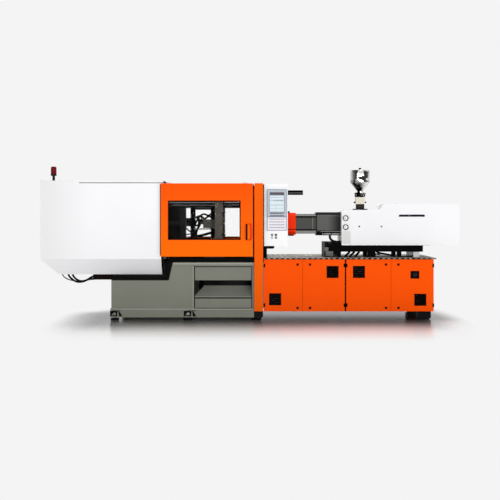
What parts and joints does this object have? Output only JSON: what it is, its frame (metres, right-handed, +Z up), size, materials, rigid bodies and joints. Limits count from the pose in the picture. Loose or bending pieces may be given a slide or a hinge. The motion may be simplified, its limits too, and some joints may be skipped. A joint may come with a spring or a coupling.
{
  "type": "injection moulding machine",
  "caption": "Horizontal injection moulding machine with a toggle clamp behind sliding gates, an injection unit with a hopper on an orange base cabinet, and a control panel.",
  "frame": {"origin": "centre of the footprint at floor height; X = 0 is also the closing edge of the closed operator gate", "axes": "+X along the machine axis to the injection end, +Y away from the operator, +Z up"},
  "size_m": [5.462, 1.4, 1.99],
  "materials": {
    "cover_white": "satin white powder coat",
    "gate_orange": "satin orange powder coat",
    "base_orange": "satin orange powder coat",
    "bed_grey": "satin olive grey machine paint",
    "platen_grey": "painted casting with machined faces",
    "link_grey": "painted cast links with machined eyes",
    "bar_steel": "hard chromed and polished",
    "turned_steel": "turned steel",
    "block_red": "satin red orange paint",
    "cover_black": "satin black sheet",
    "black_paint": "satin black paint",
    "deck_plate": "chequer plate",
    "panel_grey": "pale grey powder coat",
    "screen": "matt display glass",
    "window": "clear polycarbonate",
    "sight_glass": "yellowish clear acrylic in a steel frame",
    "lens_red": "dark red lens",
    "black_plastic": "matt black",
    "grey_plastic": "grey cap",
    "pale_plastic": "pale cap",
    "rubber_hose": "black braided hose",
    "foot_metal": "dark levelling foot",
    "hopper_steel": "polished stainless sheet",
    "gauge_metal": "chromed gauge case",
    "tank_paint": "grey tank paint",
    "pump_paint": "blue grey pump and motor paint",
    "switchgear": "pale grey switchgear on a plate"
  },
  "bodies": {
    "bed": {"clamp_bed": "bed_grey", "drop_chute": "bed_grey", "levelling_feet": "foot_metal", "clamp_cover": "cover_white", "beacon_post": "black_plastic", "beacon_lens": "lens_red", "column_covers": "gate_orange", "guide_rails": "black_paint", "fixed_platen": "platen_grey", "tie_bars": "bar_steel", "base_cabinet": "base_orange", "deck_plate": "deck_plate", "oil_tank": "tank_paint", "power_pack": "pump_paint", "switchgear": "switchgear", "control_box": "cover_white", "control_panel": "panel_grey", "panel_screen": "screen", "panel_bracket": "black_paint", "hose_1": "rubber_hose", "hose_2": "rubber_hose", "hose_3": "rubber_hose"},
    "front_gate": {"front_gate": "gate_orange", "front_window": "window"},
    "rear_gate": {"rear_gate": "gate_orange", "rear_window": "window"},
    "tail_platen": {"tail_platen": "platen_grey"},
    "moving_platen": {"moving_platen": "platen_grey"},
    "crosshead": {"crosshead": "link_grey"},
    "upper_rear_link": {"upper_rear_link": "link_grey"},
    "lower_rear_link": {"lower_rear_link": "link_grey"},
    "upper_front_link": {"upper_front_link": "link_grey"},
    "lower_front_link": {"lower_front_link": "link_grey"},
    "upper_short_link": {"upper_short_link": "link_grey"},
    "lower_short_link": {"lower_short_link": "link_grey"},
    "ejector_rod": {"ejector_rod": "bar_steel"},
    "door_1": {"door_1": "base_orange"},
    "door_2": {"door_2": "base_orange"},
    "door_3": {"door_3": "base_orange"},
    "door_4": {"door_4": "base_orange"},
    "switch_knob": {"switch_knob": "black_plastic"},
    "carriage": {"feed_housing": "platen_grey", "barrel": "turned_steel", "barrel_end_block": "block_red", "barrel_covers": "cover_black", "injection_cover": "cover_white", "pressure_gauges": "gauge_metal", "hopper_base": "turned_steel", "sight_glass": "sight_glass", "hopper_bowl": "hopper_steel"},
    "drive": {"drive_plate": "platen_grey"},
    "screw": {"screw": "turned_steel"},
    "hopper_lid": {"hopper_lid": "hopper_steel"},
    "hopper_shutter": {"hopper_shutter": "turned_steel"},
    "button_1": {"button_1": "grey_plastic"},
    "button_2": {"button_2": "black_plastic"},
    "button_3": {"button_3": "pale_plastic"},
    "button_4": {"button_4": "grey_plastic"},
    "needle_lower": {"needle_lower": "black_plastic"},
    "needle_upper": {"needle_upper": "black_plastic"}
  },
  "joints": [
    {"name": "mould_height_adjustment", "type": "slide", "parent": "bed", "child": "tail_platen", "axis": [1, 0, 0], "range_m": [-0.26, 0.09]},
    {"name": "upper_rear_pin", "type": "hinge", "parent": "tail_platen", "child": "upper_rear_link", "pos_m": [-1.093, 0, 1.535], "axis": [0, 1, 0], "range_deg": [0, 75.67]},
    {"name": "upper_elbow_pin", "type": "hinge", "parent": "upper_rear_link", "child": "upper_front_link", "pos_m": [-0.8405, 0, 1.535], "axis": [0, 1, 0], "range_deg": [-151.34, 0]},
    {"name": "upper_platen_pin", "type": "hinge", "parent": "upper_front_link", "child": "moving_platen", "pos_m": [-0.588, 0, 1.535], "axis": [0, 1, 0], "range_deg": [0, 75.67]},
    {"name": "upper_crank_pin", "type": "hinge", "parent": "upper_rear_link", "child": "upper_short_link", "pos_m": [-1.01522, 0, 1.45722], "axis": [0, 1, 0], "range_deg": [-151.34, 0]},
    {"name": "upper_crosshead_pin", "type": "hinge", "parent": "upper_short_link", "child": "crosshead", "pos_m": [-0.93744, 0, 1.535], "axis": [0, 1, 0], "range_deg": [0, 75.67]},
    {"name": "lower_rear_pin", "type": "hinge", "parent": "tail_platen", "child": "lower_rear_link", "pos_m": [-1.093, 0, 0.935], "axis": [0, 1, 0], "range_deg": [-75.67, 0]},
    {"name": "lower_elbow_pin", "type": "hinge", "parent": "lower_rear_link", "child": "lower_front_link", "pos_m": [-0.8405, 0, 0.935], "axis": [0, 1, 0], "range_deg": [0, 151.34]},
    {"name": "lower_crank_pin", "type": "hinge", "parent": "lower_rear_link", "child": "lower_short_link", "pos_m": [-1.01522, 0, 1.01278], "axis": [0, 1, 0], "range_deg": [0, 151.34]},
    {"name": "ejector_stroke", "type": "slide", "parent": "moving_platen", "child": "ejector_rod", "axis": [1, 0, 0], "range_m": [0, 0.12]},
    {"name": "front_gate_slide", "type": "slide", "parent": "bed", "child": "front_gate", "axis": [1, 0, 0], "range_m": [-1.05, 0]},
    {"name": "rear_gate_slide", "type": "slide", "parent": "bed", "child": "rear_gate", "axis": [1, 0, 0], "range_m": [-1.05, 0]},
    {"name": "door_1_hinge", "type": "hinge", "parent": "bed", "child": "door_1", "pos_m": [0.1445, -0.606, 0], "axis": [0, 0, -1], "range_deg": [0, 90]},
    {"name": "door_2_hinge", "type": "hinge", "parent": "bed", "child": "door_2", "pos_m": [1.1815, -0.606, 0], "axis": [0, 0, 1], "range_deg": [0, 85]},
    {"name": "door_3_hinge", "type": "hinge", "parent": "bed", "child": "door_3", "pos_m": [1.2025, -0.606, 0], "axis": [0, 0, -1], "range_deg": [0, 85]},
    {"name": "door_4_hinge", "type": "hinge", "parent": "bed", "child": "door_4", "pos_m": [2.3245, -0.606, 0], "axis": [0, 0, 1], "range_deg": [0, 110]},
    {"name": "main_switch_turn", "type": "hinge", "parent": "door_4", "child": "switch_knob", "pos_m": [2.084, -0.61, 0.584], "axis": [0, 1, 0], "range_deg": [0, 90]},
    {"name": "carriage_slide", "type": "slide", "parent": "bed", "child": "carriage", "axis": [1, 0, 0], "range_m": [0, 0.25]},
    {"name": "injection_stroke", "type": "slide", "parent": "carriage", "child": "drive", "axis": [1, 0, 0], "range_m": [0, 0.19]},
    {"name": "screw_turn", "type": "hinge", "parent": "drive", "child": "screw", "pos_m": [1.5, 0, 1.235], "axis": [1, 0, 0], "continuous": true},
    {"name": "hopper_lid_hinge", "type": "hinge", "parent": "carriage", "child": "hopper_lid", "pos_m": [1.448, 0.144, 1.9573], "axis": [-1, 0, 0], "range_deg": [0, 100]},
    {"name": "hopper_shutter_slide", "type": "slide", "parent": "carriage", "child": "hopper_shutter", "axis": [0, -1, 0], "range_m": [0, 0.045]},
    {"name": "button_1_press", "type": "slide", "parent": "bed", "child": "button_1", "axis": [0, 1, 0], "range_m": [0, 0.004], "stiffness_N_per_m": 600},
    {"name": "button_2_press", "type": "slide", "parent": "bed", "child": "button_2", "axis": [0, 1, 0], "range_m": [0, 0.004], "stiffness_N_per_m": 600},
    {"name": "button_3_press", "type": "slide", "parent": "bed", "child": "button_3", "axis": [0, 1, 0], "range_m": [0, 0.004], "stiffness_N_per_m": 600},
    {"name": "button_4_press", "type": "slide", "parent": "bed", "child": "button_4", "axis": [0, 1, 0], "range_m": [0, 0.004], "stiffness_N_per_m": 600},
    {"name": "needle_lower_turn", "type": "hinge", "parent": "carriage", "child": "needle_lower", "pos_m": [1.223, -0.311, 1.193], "axis": [0, 1, 0], "range_deg": [0, 270]},
    {"name": "needle_upper_turn", "type": "hinge", "parent": "carriage", "child": "needle_upper", "pos_m": [1.223, -0.311, 1.311], "axis": [0, 1, 0], "range_deg": [0, 270]}
  ],
  "couplings": [
    {"joint": "upper_elbow_pin", "follows": "upper_rear_pin", "ratio": -2},
    {"joint": "upper_platen_pin", "follows": "upper_rear_pin", "ratio": 1},
    {"joint": "upper_crank_pin", "follows": "upper_rear_pin", "ratio": -2},
    {"joint": "upper_crosshead_pin", "follows": "upper_rear_pin", "ratio": 1},
    {"joint": "lower_rear_pin", "follows": "upper_rear_pin", "ratio": -1},
    {"joint": "lower_elbow_pin", "follows": "upper_rear_pin", "ratio": 2},
    {"joint": "lower_crank_pin", "follows": "upper_rear_pin", "ratio": 2}
  ]
}
